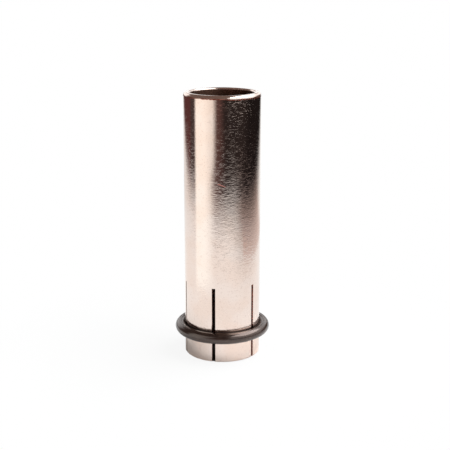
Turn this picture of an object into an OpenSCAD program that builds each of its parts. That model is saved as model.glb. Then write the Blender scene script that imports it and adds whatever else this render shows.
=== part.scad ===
// Slip-on gas nozzle of a welding torch, standing on its slotted end with the mouth up.
// The origin is the middle of the slotted end, +Z runs up the tube's axis and -Y is the front.

/* [Tube] */
// Outside diameter of the tube
body_d = 24; // [18:0.5:34]
// Length of the tube, from the slotted end to the mouth
body_l = 84; // [50:1:120]
// Wall of the tube at the mouth, which leaves the gas bore
wall_t = 2; // [1.9:0.1:4]
// Rounding of the mouth's outer edge
rim_round = 1; // [0.2:0.1:1.4]
// Rounding of the mouth's inner edge
mouth_round = 0.5; // [0.1:0.1:0.9]

/* [Slotted end] */
// Wall of the fingers, where the clamp seat is bored wider than the gas bore
finger_t = 1.8; // [1:0.1:2.4]
// Length of the slots on the outside of the tube
slot_l = 24.25; // [14:0.25:36]
// Width of the saw that cuts the slots
slot_w = 1; // [0.5:0.1:2]
// Diameter of the saw, which gives each slot its curved end
saw_d = 80; // [50:1:125]
// Directions of the saw cuts, each through both walls, from the front towards the right
cut_angles = [-74, -13.5, 52.5]; // [-90:0.5:90]
// Edge break along both sides of each slot
slot_break = 0.12; // [0.05:0.01:0.3]
// Length of seat left above the slots, up to the shoulder that stops the torch
seat_margin = 2; // [0.5:0.1:8]
// Chamfer round the outside of the slotted end
end_chamfer = 0.3; // [0.1:0.05:0.8]
// Lead-in chamfer of the clamp seat
lead_in = 0.6; // [0.1:0.05:0.9]

/* [Clamp ring] */
// Thickness of the ring's round section
ring_t = 3.45; // [2:0.05:5]
// Height of the ring's middle above the slotted end
ring_z = 8.45; // [4:0.05:14]
// Depth of the groove that holds the ring in place
groove_depth = 0.35; // [0.1:0.05:0.8]
// Gap between the ring and its groove
ring_gap = 0.05; // [0.01:0.01:0.2]

/* [Hidden] */
$fn = 128;

// How far a cutter reaches past the metal that it cuts
over = 1;

body_r = body_d / 2;
bore_r = body_r - wall_t;
seat_r = body_r - finger_t;
saw_r = saw_d / 2;

// Height of the saw's centre, with its rim at slot_l where it leaves the tube
saw_z = slot_l - sqrt(pow(saw_r, 2) - pow(body_r, 2));

// Height of the slots' ends on the inside, and of the shoulder above them
slot_top = saw_z + sqrt(pow(saw_r, 2) - pow(seat_r, 2));
seat_l = slot_top + seat_margin;

// Distance from the axis at which the slots' edge break starts
break_y = sqrt(pow(body_r, 2) - pow(slot_w / 2 + slot_break, 2)) - slot_break;

// Radius of the groove's section, and of the circle that the ring's middle runs on
groove_r = ring_t / 2 + ring_gap;
ring_r = body_r - groove_depth + groove_r;

// What a rounded outer corner loses, with the corner towards +X and +Y
module corner_round(r) {
    difference() {
        square(r + over);
        circle(r);
    }
}

// What a chamfered corner loses, with the corner at the origin and the metal towards +X and +Y
module corner_chamfer(c) {
    polygon([[-over, -over], [c + over, -over], [-over, c + over]]);
}

// Half section of the turned tube
module tube_section() {
    difference() {
        translate([bore_r, 0]) square([wall_t, body_l]);
        translate([0, -over]) square([seat_r, seat_l + over]);
        translate([body_r - rim_round, body_l - rim_round]) corner_round(rim_round);
        translate([bore_r + mouth_round, body_l - mouth_round]) mirror([1, 0]) corner_round(mouth_round);
        translate([body_r, 0]) mirror([1, 0]) corner_chamfer(end_chamfer);
        translate([seat_r, 0]) corner_chamfer(lead_in);
        translate([ring_r, ring_z]) circle(groove_r);
    }
}

// One saw cut seen along the tube: a straight slot that flares where it breaks the surface
module cut_plan() {
    half_w = slot_w / 2;
    flare = slot_break + over;
    square([slot_w, 2 * (body_r + over)], center = true);
    for (side = [0, 1])
        mirror([0, side])
            translate([0, break_y])
                polygon([[-half_w, 0], [half_w, 0], [half_w + flare, flare], [-half_w - flare, flare]]);
}

// Side view of the saw and of its way in from the slotted end
module saw_sweep() {
    translate([0, saw_z]) circle(saw_r);
    translate([-saw_r, saw_z - saw_r - over]) square([saw_d, saw_r + over]);
}

// One saw cut, through the front and the back wall at once
module saw_cut() {
    cut_w = slot_w + 2 * (slot_break + over);
    intersection() {
        translate([0, 0, -over]) linear_extrude(slot_top + 2 * over) cut_plan();
        rotate([90, 0, 90]) linear_extrude(cut_w, center = true) saw_sweep();
    }
}

module nozzle_tube() {
    color([0.86, 0.79, 0.75])
        difference() {
            rotate_extrude() tube_section();
            for (angle = cut_angles) rotate([0, 0, angle]) saw_cut();
        }
}

module clamp_ring() {
    color([0.16, 0.14, 0.13])
        translate([0, 0, ring_z])
            rotate_extrude() translate([ring_r, 0]) circle(ring_t / 2);
}

nozzle_tube();
clamp_ring();
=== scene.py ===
import math
import bpy
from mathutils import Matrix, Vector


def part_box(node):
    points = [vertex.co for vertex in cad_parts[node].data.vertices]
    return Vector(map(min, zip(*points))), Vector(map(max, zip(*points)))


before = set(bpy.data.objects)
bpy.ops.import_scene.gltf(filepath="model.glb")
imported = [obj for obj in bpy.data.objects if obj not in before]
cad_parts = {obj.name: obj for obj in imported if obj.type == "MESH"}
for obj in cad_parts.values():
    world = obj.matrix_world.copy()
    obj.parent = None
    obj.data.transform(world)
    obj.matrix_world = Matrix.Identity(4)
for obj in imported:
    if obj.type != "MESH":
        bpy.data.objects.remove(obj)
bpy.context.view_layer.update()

# The camera stands where the photographer's did: in front of the standing nozzle, a little above its mouth,
# looking down on it with a long lens.
camera_distance = 0.3047
camera_height = 0.1205
camera_tilt = math.radians(14.5)
camera_pan = math.radians(-0.164)
camera_data = bpy.data.cameras.new("product_camera")
camera_data.sensor_width = 36.0
camera_data.lens = 79.38
camera_data.clip_start = 0.01
camera_data.clip_end = 10.0
camera = bpy.data.objects.new("product_camera", camera_data)
camera.location = (0.0, -camera_distance, camera_height)
camera.rotation_euler = (math.pi / 2 - camera_tilt, 0.0, camera_pan)
bpy.context.scene.collection.objects.link(camera)
bpy.context.scene.camera = camera

# The tube is drawn copper, turned at both ends, sawn into fingers at the lower one and plated all over with
# a thin bright nickel layer that lets the copper's warmth through. The sawn faces and the rubbed edges show
# bare copper.
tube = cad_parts["nozzle_tube"]
tube_low, tube_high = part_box("nozzle_tube")
tube_radius = tube_high.x
tube_length = tube_high.z - tube_low.z
finger_wall = 0.0018
rim_round = 0.001
mouth_round = 0.0005
cut_bearings = [-74.0, -13.5, 52.5]
cut_width = 0.001
cut_top = 0.0249

plating_cool = (0.862, 0.718, 0.648, 1.0)
plating_warm = (0.850, 0.680, 0.596, 1.0)
shaded_slot_copper = (0.20, 0.105, 0.080, 1.0)
bare_copper = (0.92, 0.53, 0.41, 1.0)
speck_brown = (0.52, 0.36, 0.31, 1.0)
scratch_copper = (0.86, 0.33, 0.28, 1.0)
burr_and_shade_copper = (0.30, 0.085, 0.055, 1.0)
bore_copper_and_shade = (0.15, 0.080, 0.058, 1.0)
groove_shade_colour = (0.06, 0.035, 0.030, 1.0)


def feed(tree, socket, value):
    """Sets an input to a number or a colour, or links it to a socket."""
    if isinstance(value, bpy.types.NodeSocket):
        tree.links.new(value, socket)
    else:
        socket.default_value = value


def add(tree, kind, inputs=None, **settings):
    """Adds a node of this kind, sets its properties, and feeds its inputs with values or sockets."""
    node = tree.nodes.new(kind)
    for name, value in settings.items():
        setattr(node, name, value)
    for key, value in (inputs or {}).items():
        feed(tree, node.inputs[key], value)
    return node


def arith(tree, operation, first, *others):
    """Arithmetic on one value, or on several taken one after another."""
    if not others:
        return add(tree, "ShaderNodeMath", {0: first}, operation=operation).outputs[0]
    for other in others:
        first = add(tree, "ShaderNodeMath", {0: first, 1: other}, operation=operation).outputs[0]
    return first


def product(tree, *factors):
    """All the factors multiplied together."""
    return arith(tree, "MULTIPLY", *factors)


def apart(tree, one, other):
    """How far apart two values are."""
    return arith(tree, "ABSOLUTE", arith(tree, "SUBTRACT", one, other))


def flat_distance(tree, x, y):
    """The distance that a step of x and a step of y make together."""
    return arith(tree, "SQRT", arith(tree, "ADD", product(tree, x, x), product(tree, y, y)))


def ramp(tree, value, start, end, at_start=0.0, at_end=1.0):
    """A soft step: at_start where value is start, at_end where it is end. Start may be the greater one."""
    inputs = {"Value": value, "From Min": start, "From Max": end, "To Min": at_start, "To Max": at_end}
    return add(tree, "ShaderNodeMapRange", inputs, interpolation_type="SMOOTHSTEP").outputs["Result"]


def mix_colour(tree, mask, off, on):
    """The colour off where the mask is 0, and the colour on where it is 1."""
    return add(tree, "ShaderNodeMix", {0: mask, 6: off, 7: on}, data_type="RGBA").outputs[2]


def noise(tree, place, per_metre, detail=2.0, roughness=0.5):
    """Soft noise with this many swells in a metre."""
    inputs = {"Vector": place, "Scale": per_metre, "Detail": detail, "Roughness": roughness}
    return add(tree, "ShaderNodeTexNoise", inputs).outputs["Fac"]


def flattened(tree, place, times):
    """The place to give a noise that should lie this many times flatter."""
    inputs = {0: place, 1: (1.0, 1.0, times)}
    return add(tree, "ShaderNodeVectorMath", inputs, operation="MULTIPLY").outputs[0]


def relief(tree, height, metres, under=None):
    """A relief this many metres high where height is 1, on top of the relief under it."""
    inputs = {"Height": height, "Distance": metres}
    if under is not None:
        inputs["Normal"] = under
    return add(tree, "ShaderNodeBump", inputs).outputs[0]


def surface_place(tree):
    """The place on the piece: the vector, its three parts, and the distance from the tube's axis."""
    place = tree.nodes.new("ShaderNodeTexCoord").outputs["Object"]
    across, depth, height = add(tree, "ShaderNodeSeparateXYZ", {0: place}).outputs
    return place, across, depth, height, flat_distance(tree, across, depth)


def empty_tree(owner):
    """The node tree of a material or of the world, emptied of the nodes that come with it."""
    owner.use_nodes = True
    owner.node_tree.nodes.clear()
    return owner.node_tree


def new_material(name):
    """A new material and its empty tree."""
    material = bpy.data.materials.new(name)
    return material, empty_tree(material)


def show(tree, shader):
    """Makes this shader the surface of its material."""
    add(tree, "ShaderNodeOutputMaterial", {"Surface": shader})


def new_group(name, inputs, outputs):
    """An empty shader node group, with the sockets of its inputs and of its float outputs."""
    group = bpy.data.node_groups.new(name, "ShaderNodeTree")
    for socket_name, kind in inputs.items():
        group.interface.new_socket(socket_name, in_out="INPUT", socket_type=kind)
    for socket_name in outputs:
        group.interface.new_socket(socket_name, in_out="OUTPUT", socket_type="NodeSocketFloat")
    return group, group.nodes.new("NodeGroupInput").outputs, group.nodes.new("NodeGroupOutput").inputs


def place_group(tree, group, inputs):
    """A node group placed in a material with its own values."""
    return add(tree, "ShaderNodeGroup", inputs, node_tree=group).outputs


# Fine grain that both pieces have: soft lumps, parted by a net of small creases with gaps in it. Grain is a
# size in metres, and Crease Depth is the creases' share of the height. Most pairs of values, here and below,
# say where a mask is 0 and where it is 1.
lump_detail = 0.7
net_fineness = 1.15
crease_edge = (0.13, 0.02)
gap_fineness = 0.80
gap_detail = 1.5
gap_edge = (0.42, 0.60)
fine_grain, given, result = new_group(
    "fine_grain",
    {"Place": "NodeSocketVector", "Grain": "NodeSocketFloat", "Crease Depth": "NodeSocketFloat"},
    ["Height", "Creases"],
)
per_grain = arith(fine_grain, "DIVIDE", 1.0, given["Grain"])
lumps = noise(fine_grain, given["Place"], per_grain, detail=lump_detail)
net_inputs = {"Vector": given["Place"], "Scale": product(fine_grain, per_grain, net_fineness)}
net = add(fine_grain, "ShaderNodeTexVoronoi", net_inputs, feature="DISTANCE_TO_EDGE")
near_net = ramp(fine_grain, net.outputs["Distance"], *crease_edge)
gaps = noise(fine_grain, given["Place"], product(fine_grain, per_grain, gap_fineness), detail=gap_detail)
creases = product(fine_grain, near_net, ramp(fine_grain, gaps, *gap_edge))
sunk = product(fine_grain, creases, given["Crease Depth"])
fine_grain.links.new(arith(fine_grain, "SUBTRACT", lumps, sunk), result["Height"])
fine_grain.links.new(creases, result["Creases"])

# Handling marks that both pieces have: wide faint smudges. Size is in metres.
smudge_detail = 3.0
smudge_edge = (0.40, 0.64)
handling, given, result = new_group(
    "handling",
    {"Place": "NodeSocketVector", "Size": "NodeSocketFloat"},
    ["Smudge"],
)
per_size = arith(handling, "DIVIDE", 1.0, given["Size"])
cloud = noise(handling, given["Place"], per_size, detail=smudge_detail)
handling.links.new(ramp(handling, cloud, *smudge_edge), result["Smudge"])

# The tube's own finish: first the masks of its parts and marks, then colour, polish and relief
plated, tree = new_material("plated_copper_finish")
shader = add(tree, "ShaderNodeBsdfPrincipled")
show(tree, shader.outputs[0])
place, across, depth, height, radius = surface_place(tree)
fade_width = 0.0002

# The inside of the tube, up to the rounding of the mouth
bore_top = (tube_length - 0.7 * mouth_round, tube_length - 1.3 * mouth_round)
bore_side = (tube_radius - finger_wall + 2 * fade_width, tube_radius - finger_wall + fade_width)
inside = product(tree, ramp(tree, radius, *bore_side), ramp(tree, height, *bore_top))

# The sawn faces of the slots, under the plated skin
cut_side = (0.62 * cut_width, 0.53 * cut_width)
cut_end = (cut_top + fade_width, cut_top)
under_skin = (tube_radius - 0.00008, tube_radius - 0.00016)
nearest_cut = 1.0
for bearing in cut_bearings:
    turn = math.radians(bearing)
    part_across = product(tree, across, math.cos(turn))
    part_deep = product(tree, depth, math.sin(turn))
    off_cut = arith(tree, "ABSOLUTE", arith(tree, "ADD", part_across, part_deep))
    nearest_cut = arith(tree, "MINIMUM", nearest_cut, off_cut)
in_slot = product(
    tree,
    ramp(tree, nearest_cut, *cut_side),
    ramp(tree, height, *cut_end),
    ramp(tree, radius, *under_skin),
)

# The ragged copper line where the lathe tool left the outer rounding of the rim, a little lower on the right
# Its dark colour is partly painted shade, where the rounding turns down into the wall.
burr_grain = 0.0011
burr_noise = (0.35, 0.65)
burr_widths = (0.00003, 0.00030)
burr_fall = 0.00022
burr_falls_over = (-0.002, 0.005)
burr_edge = (1.0, 0.6)
on_outside = (tube_radius - 0.0003, tube_radius - 0.0001)
round_end = tube_length - rim_round
burr_height = ramp(tree, across, *burr_falls_over, round_end, round_end - burr_fall)
ragged = noise(tree, place, 1.0 / burr_grain, detail=3.0, roughness=0.7)
burr_width = ramp(tree, ragged, *burr_noise, *burr_widths)
off_burr = arith(tree, "DIVIDE", apart(tree, height, burr_height), burr_width)
burr_and_shade = product(tree, ramp(tree, off_burr, *burr_edge), ramp(tree, radius, *on_outside))

# Painted shade and a painted dark reflection of the ring, on the tube in and just above the groove it sits
# in
groove_shade_top = (0.0105, 0.0100)
groove_shade_bottom = (0.0060, 0.0066)
groove_shade = product(tree, ramp(tree, height, *groove_shade_top), ramp(tree, height, *groove_shade_bottom))

# One fine scratch on the front, from its left end to its right one, each as across and height
scratch_left = (-0.0017, 0.0575)
scratch_right = (0.0013, 0.0566)
scratch_edge = (0.00017, 0.00005)
scratch_full_share = 0.6
on_front = (0.0, -0.001)
scratch_middle = 0.5 * (scratch_left[0] + scratch_right[0])
scratch_reach = 0.5 * (scratch_right[0] - scratch_left[0])
scratch_height = ramp(tree, across, scratch_left[0], scratch_right[0], scratch_left[1], scratch_right[1])
scratch = product(
    tree,
    ramp(tree, apart(tree, height, scratch_height), *scratch_edge),
    ramp(tree, apart(tree, across, scratch_middle), scratch_reach, scratch_full_share * scratch_reach),
    ramp(tree, depth, *on_front),
)

# The plated skin: soft swells, short creases round the tube, fine grain, smudges and specks
swell_size = 0.0014
swell_flatness = 1.5
crease_size = 0.0026
crease_flatness = 2.9
crease_line = (0.10, 0.0)
noise_middle = 0.5
crease_gap_size = 0.0022
crease_gap_edge = (0.47, 0.60)
speck_size = 0.00085
speck_edge = (0.56, 0.68)
swell = noise(tree, flattened(tree, place, swell_flatness), 1.0 / swell_size, detail=1.0)
flat_place = flattened(tree, place, crease_flatness)
off_line = apart(tree, noise(tree, flat_place, 1.0 / crease_size, detail=1.0), noise_middle)
crease_gaps = ramp(tree, noise(tree, place, 1.0 / crease_gap_size), *crease_gap_edge)
crease = product(tree, ramp(tree, off_line, *crease_line), crease_gaps)
skin_grain = place_group(tree, fine_grain, {"Place": flat_place, "Grain": 0.00102, "Crease Depth": 0.38})
smudge = place_group(tree, handling, {"Place": place, "Size": 0.009})["Smudge"]
specks = ramp(tree, noise(tree, place, 1.0 / speck_size, detail=3.0, roughness=0.6), *speck_edge)

# Colour, from the skin through the marks on it to the sawn faces and the inside
speck_share = 0.20
groove_shade_share = 0.85
slot_shade_to_light = (-0.0085, 0.0085)
clean_colour = mix_colour(tree, smudge, plating_cool, plating_warm)
skin_colour = mix_colour(tree, product(tree, specks, speck_share), clean_colour, speck_brown)
burr_and_shade_colour = mix_colour(tree, burr_and_shade, skin_colour, burr_and_shade_copper)
scratched_colour = mix_colour(tree, scratch, burr_and_shade_colour, scratch_copper)
# The sawn faces are painted dark on the left and bright on the right: painted shade and light over their
# bare copper.
slot_copper_with_shade = mix_colour(tree, ramp(tree, across, *slot_shade_to_light), shaded_slot_copper, bare_copper)
sawn_colour = mix_colour(tree, in_slot, scratched_colour, slot_copper_with_shade)
groove_shaded_colour = mix_colour(tree, product(tree, groove_shade, groove_shade_share), sawn_colour, groove_shade_colour)
# The inside is painted dark: as-drawn copper, darkened further as painted shade deep in the bore.
tree.links.new(mix_colour(tree, inside, groove_shaded_colour, bore_copper_and_shade), shader.inputs["Base Color"])
shader.inputs["Metallic"].default_value = 1.0

# Polish: the clean skin is the brightest, smudges and creases dull it a little, and worn places much more
clean_rough = 0.062
smudged_rough = 0.076
crease_rough = 0.08
worn_rough = 0.36
worn = arith(tree, "MAXIMUM", inside, in_slot, burr_and_shade, scratch, groove_shade)
tube_rough = arith(
    tree,
    "ADD",
    ramp(tree, smudge, 0.0, 1.0, clean_rough, smudged_rough),
    product(tree, skin_grain["Creases"], crease_rough),
    product(tree, worn, worn_rough),
)
tree.links.new(tube_rough, shader.inputs["Roughness"])

# Relief, in metres
swell_relief = 0.000008
crease_relief = 0.000004
grain_relief = 0.0000095
swollen = relief(tree, swell, swell_relief)
creased = relief(tree, crease, crease_relief, swollen)
tree.links.new(relief(tree, skin_grain["Height"], grain_relief, creased), shader.inputs["Normal"])
tube.data.materials[0] = plated

# The ring is one closed ring of brown-black heat-resistant rubber with a round section, moulded smooth,
# stretched over the fingers and held by its groove. Its inner side, next to the tube, is dull.
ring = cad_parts["clamp_ring"]
rubber_brown = (0.011, 0.006, 0.005, 1.0)
rubber_dust = (0.024, 0.014, 0.010, 1.0)
clean_rough = 0.18
dusty_rough = 0.22
inner_rough = 0.60
inner_side = (0.01290, 0.01225)
ring_relief = 0.000004

rubber, tree = new_material("ring_rubber_finish")
shader = add(tree, "ShaderNodeBsdfPrincipled")
show(tree, shader.outputs[0])
place, across, depth, height, radius = surface_place(tree)
ring_grain = place_group(tree, fine_grain, {"Place": place, "Grain": 0.0003, "Crease Depth": 0.1})
smudge = place_group(tree, handling, {"Place": place, "Size": 0.004})["Smudge"]
tree.links.new(mix_colour(tree, smudge, rubber_brown, rubber_dust), shader.inputs["Base Color"])
dull_part = product(tree, ramp(tree, radius, *inner_side), inner_rough)
ring_rough = arith(tree, "ADD", ramp(tree, smudge, 0.0, 1.0, clean_rough, dusty_rough), dull_part)
tree.links.new(ring_rough, shader.inputs["Roughness"])
shader.inputs["Specular IOR Level"].default_value = 0.92
shader.inputs["Specular Tint"].default_value = (1.0, 0.77, 0.69, 1.0)
shader.inputs["Coat Weight"].default_value = 0.25
shader.inputs["Coat Roughness"].default_value = 0.15
tree.links.new(relief(tree, ring_grain["Height"], ring_relief), shader.inputs["Normal"])
ring.data.materials[0] = rubber

# The table is a white sheet. In the metal it shows as a painted pool of light that fades out into the dim
# room past it, and to the camera it runs on white, with the nozzle's shadow.
table_reach = 3.0

# Each reach of the painted light: how far out it has faded into the room, and how far out the sheet is still
# white. The right reach runs outwards towards the back.
front_light_reach = (0.282, 0.135)
right_light_reach = (0.285, 0.065)
left_light_reach = (0.335, 0.183)
front_slant = -0.25
back_slant = -0.12


def mix_shader(tree, mask, off, on):
    """The shader off where the mask is 0, and the shader on where it is 1."""
    return add(tree, "ShaderNodeMixShader", {0: mask, 1: off, 2: on}).outputs[0]


def matt(tree, colour):
    """A matt surface of this colour."""
    return add(tree, "ShaderNodeBsdfDiffuse", {"Color": colour}).outputs[0]


def glow(tree, colour):
    """A surface that shines in this colour by itself."""
    return add(tree, "ShaderNodeEmission", {"Color": colour, "Strength": 1.0}).outputs[0]


def front_bearing(tree, across, depth):
    """Degrees round the nozzle's axis: 0 in front, where the camera is, and 90 on the right."""
    return arith(tree, "DEGREES", arith(tree, "ARCTAN2", across, product(tree, depth, -1.0)))


bpy.ops.mesh.primitive_plane_add(size=2 * table_reach)
table = bpy.context.object
table.name = "table"
sheet, tree = new_material("white_sheet")
place, across, depth, height, distance = surface_place(tree)
bearing = front_bearing(tree, across, depth)
slant = arith(tree, "MAXIMUM", product(tree, depth, front_slant), product(tree, depth, back_slant))
in_light = product(
    tree,
    ramp(tree, product(tree, depth, -1.0), *front_light_reach),
    ramp(tree, arith(tree, "ADD", across, slant), *right_light_reach),
    ramp(tree, product(tree, across, -1.0), *left_light_reach),
)

# The sheet's glow, painted dimmer far off on the left as painted shade
sheet_near = (1.01, 1.04, 1.045, 1.0)
sheet_far_shaded = (0.87, 0.885, 0.89, 1.0)
dim_distance = (0.09, 0.27)
dim_left = (0.02, -0.06)
painted_dimming = product(tree, ramp(tree, distance, *dim_distance), ramp(tree, across, *dim_left))
sheet_colour = mix_colour(tree, painted_dimming, sheet_near, sheet_far_shaded)

# The sheet has a pinkish part on the right. Its near edge is an arc, and its front end fades out, more
# softly farther off.
pink_at_side = (0.89, 0.77, 0.74, 1.0)
pink_behind = (0.77, 0.67, 0.635, 1.0)
side_to_behind = (70.0, 135.0)
arc_middle = (-0.067, 0.003)
arc_edge = (0.1875, 0.1905)
pink_softens = (0.200, 0.235)
pink_end = (61.0, 35.0)
pink_full = (65.0, 68.0)
pink_back = (0.19, 0.12)
past_across = arith(tree, "SUBTRACT", across, arc_middle[0])
past_deep = arith(tree, "SUBTRACT", depth, arc_middle[1])
pink_far = flat_distance(tree, past_across, past_deep)
pink_from = ramp(tree, pink_far, *pink_softens, *pink_end)
pink_to = ramp(tree, pink_far, *pink_softens, *pink_full)
pink_part = product(
    tree,
    ramp(tree, pink_far, *arc_edge),
    ramp(tree, bearing, pink_from, pink_to),
    ramp(tree, depth, *pink_back),
)
pink_colour = mix_colour(tree, ramp(tree, bearing, *side_to_behind), pink_at_side, pink_behind)

# The dim room past the reach of the sheet's painted light, in its parts
room_front_right = (0.026, 0.020, 0.019, 1.0)
room_back_right = (0.013, 0.010, 0.010, 1.0)
room_side_left = (0.062, 0.043, 0.042, 1.0)
room_back_left = (0.100, 0.038, 0.037, 1.0)
room_front_left = (0.100, 0.055, 0.050, 1.0)
front_to_back = (-0.05, 0.0)
wide_front_to_back = (-0.25, 0.0)
left_to_right = (-0.02, 0.02)
wide_right_to_left = (0.10, -0.12)
side_to_back_left = (-101.0, -112.0)
right_room = mix_colour(tree, ramp(tree, depth, *wide_front_to_back), room_front_right, room_back_right)
left_room = mix_colour(tree, ramp(tree, bearing, *side_to_back_left), room_side_left, room_back_left)
front_room = mix_colour(tree, ramp(tree, across, *wide_right_to_left), right_room, room_front_left)
back_room = mix_colour(tree, ramp(tree, across, *left_to_right), left_room, right_room)
room_glow = mix_colour(tree, ramp(tree, depth, *front_to_back), front_room, back_room)

# The metal mirrors the real light and shadow near the foot, and farther out these colours, which glow as
# painted light.
# The camera sees white, with the real light near the nozzle only, and none of it inside the tube, where the
# sheet is painted dark as a painted shadow.
sheet_white = (0.94, 0.96, 0.965, 1.0)
paper_white = (1.0, 1.0, 1.0, 1.0)
painted_tube_shadow = (0.12, 0.10, 0.09, 1.0)
past_shade = (0.022, 0.060)
near_nozzle = (0.090, 0.013)
shadow_share = 0.12
under_tube = (tube_radius - 0.0003, tube_radius - 0.0009)
lit = matt(tree, sheet_white)
far_colour = mix_colour(tree, in_light, room_glow, mix_colour(tree, pink_part, sheet_colour, pink_colour))
mirrored = mix_shader(tree, ramp(tree, distance, *past_shade), lit, glow(tree, far_colour))
near_share = ramp(tree, distance, *near_nozzle, 0.0, shadow_share)
seen = mix_shader(tree, near_share, glow(tree, paper_white), lit)
path = tree.nodes.new("ShaderNodeLightPath").outputs
for_metal = arith(tree, "MAXIMUM", path["Is Glossy Ray"], path["Is Transmission Ray"])
unseen = mix_shader(tree, for_metal, lit, mirrored)
outside = mix_shader(tree, path["Is Camera Ray"], unseen, seen)
show(tree, mix_shader(tree, ramp(tree, distance, *under_tube), outside, matt(tree, painted_tube_shadow)))
table.data.materials.append(sheet)

# A low white card stands close by on the left and throws the bright stripe on the tube. It fades out
# towards its front end, where it turns aside from the lamp, and more so lower down. Bearings are in degrees
# from the front.
card_low = (1.19, 1.25, 1.235, 1.0)
card_high = (1.195, 1.19, 1.14, 1.0)
card_colour_heights = (0.015, 0.060)
front_end = -12.5
full_from = (-52.0, -28.5)
full_from_heights = (0.040, 0.052)
front_fade = (-14.0, -56.0)
front_shares = (0.60, 0.72)
front_share_heights = (0.045, 0.068)
back_end = (-86.0, -76.0)


def bent_card(name, middle, half_width, card_radius, bottom, top):
    """An upright card bent round the nozzle, hidden from the camera and from shadows. Its middle and half
    width are in degrees.
    """
    steps = 32
    points = []
    for i in range(steps + 1):
        turn = math.radians(middle - half_width + 2 * half_width * i / steps)
        for height in (bottom, top):
            points.append((card_radius * math.sin(turn), -card_radius * math.cos(turn), height))
    faces = [(2 * i, 2 * i + 2, 2 * i + 3, 2 * i + 1) for i in range(steps)]
    mesh = bpy.data.meshes.new(name)
    mesh.from_pydata(points, [], faces)
    card = bpy.data.objects.new(name, mesh)
    bpy.context.scene.collection.objects.link(card)
    card.visible_camera = False
    card.visible_shadow = False
    return card


stripe_card = bent_card(
    "stripe_card", middle=-48.0, half_width=38.0, card_radius=0.085, bottom=0.0, top=0.087
)
card_white, tree = new_material("card_white")
place, across, depth, height, distance = surface_place(tree)
bearing = front_bearing(tree, across, depth)
card_share = product(
    tree,
    ramp(tree, bearing, front_end, ramp(tree, height, *full_from_heights, *full_from)),
    ramp(tree, bearing, *front_fade, ramp(tree, height, *front_share_heights, *front_shares), 1.0),
    ramp(tree, bearing, *back_end),
)
card_colour = mix_colour(tree, ramp(tree, height, *card_colour_heights), card_low, card_high)
clear = add(tree, "ShaderNodeBsdfTransparent").outputs[0]
show(tree, mix_shader(tree, card_share, clear, glow(tree, card_colour)))
stripe_card.data.materials.append(card_white)

# White screens stand round the table from behind on the left to the front on the right. They begin so high
# that, from the camera, the plain wall of the tube doesn't mirror them: the rim, the ring and the small
# creases do. They are dim at their left end and in a narrow gap in the middle behind.
screen_bright = (1.20, 1.20, 1.20, 1.0)
screen_dim = (0.20, 0.15, 0.14, 1.0)
gap_half_width = (0.0015, 0.011)
left_bearings = (-118.0, -142.0)
not_left = (-0.01, 0.0)
screen_white, tree = new_material("screen_white")
place, across, depth, height, distance = surface_place(tree)
bearing = front_bearing(tree, across, depth)
beside_gap = ramp(tree, arith(tree, "ABSOLUTE", across), *gap_half_width)
left_end = arith(tree, "MAXIMUM", ramp(tree, bearing, *left_bearings), ramp(tree, across, *not_left))
screen_colour = mix_colour(tree, product(tree, beside_gap, left_end), screen_dim, screen_bright)

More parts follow.
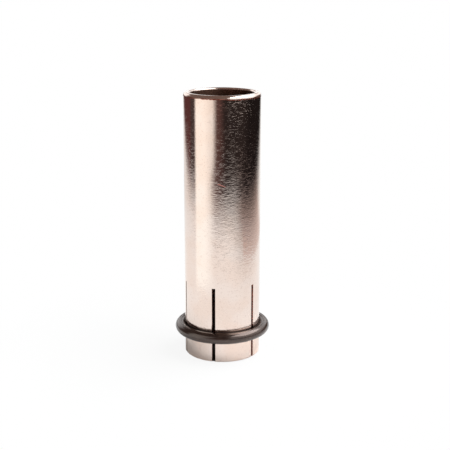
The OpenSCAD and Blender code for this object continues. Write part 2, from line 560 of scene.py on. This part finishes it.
# On the right, their lower edge rises towards the back and sinks again behind. They fade out in front.
on_right = (0.0, 0.02)
front_ends = (10.0, 30.0)
edge_rises = (100.0, 124.0)
edge_heights = (0.075, 0.21)
edge_sinks = (140.0, 160.0)
edge_fall = 0.13
edge_softness = 0.008
risen = ramp(tree, bearing, *edge_rises, *edge_heights)
lower_edge = arith(tree, "SUBTRACT", risen, ramp(tree, bearing, *edge_sinks, 0.0, edge_fall))
above_edge = ramp(tree, arith(tree, "SUBTRACT", height, lower_edge), -edge_softness, edge_softness)
right_part = product(tree, above_edge, ramp(tree, bearing, *front_ends))
left_part = arith(tree, "SUBTRACT", 1.0, ramp(tree, across, *on_right))
screen_share = arith(tree, "MAXIMUM", left_part, right_part)
clear = add(tree, "ShaderNodeBsdfTransparent").outputs[0]
show(tree, mix_shader(tree, screen_share, clear, glow(tree, screen_colour)))
for name, middle, half_width, card_radius, bottom, top in (
    ("back_screen", 180.0, 16.0, 0.35, 0.086, 0.165),
    ("left_screen", -141.0, 26.0, 1.20, 0.084, 0.76),
    ("right_screen", 91.0, 75.0, 0.60, 0.065, 0.70),
):
    screen = bent_card(name, middle, half_width, card_radius, bottom, top)
    screen.visible_diffuse = False
    screen.data.materials.append(screen_white)

# A low red-brown wall stands farther off, in front on the left. The small creases in the dark stripes of the
# tube glint with it.
red_brown = (0.42, 0.20, 0.175, 1.0)
wall_paint, tree = new_material("wall_paint")
show(tree, glow(tree, red_brown))
front_wall = bent_card(
    "front_wall", middle=-20.0, half_width=26.0, card_radius=1.20, bottom=0.086, top=0.26
)
front_wall.visible_diffuse = False
front_wall.data.materials.append(wall_paint)

# One large soft lamp hangs above on the right and shines straight down. It lights the sheet and throws the
# nozzle's soft shadow.
lamp_data = bpy.data.lights.new("soft_lamp", "AREA")
lamp_data.shape = "RECTANGLE"
lamp_data.size = 0.43
lamp_data.size_y = 0.70
lamp_data.energy = 4.3
lamp = bpy.data.objects.new("soft_lamp", lamp_data)
lamp.location = (0.365, 0.05, 0.46)
lamp.visible_camera = False
bpy.context.scene.collection.objects.link(lamp)

# The room is white to the camera, and dim grey-brown where the metal mirrors it. Everything else gets a soft
# white light from it.
room_brown = (0.165, 0.120, 0.105, 1.0)
room_white = (1.0, 1.0, 1.0, 1.0)
soft_strength = 0.35
world = bpy.data.worlds.new("studio")
bpy.context.scene.world = world
tree = empty_tree(world)
dim = add(tree, "ShaderNodeBackground", {"Color": room_brown, "Strength": 1.0}).outputs[0]
soft = add(tree, "ShaderNodeBackground", {"Color": room_white, "Strength": soft_strength}).outputs[0]
paper = add(tree, "ShaderNodeBackground", {"Color": room_white, "Strength": 1.0}).outputs[0]
path = tree.nodes.new("ShaderNodeLightPath").outputs
unseen = mix_shader(tree, path["Is Glossy Ray"], soft, dim)
around = mix_shader(tree, path["Is Camera Ray"], unseen, paper)
add(tree, "ShaderNodeOutputWorld", {"Surface": around})

bpy.context.scene.view_settings.view_transform = "Standard"
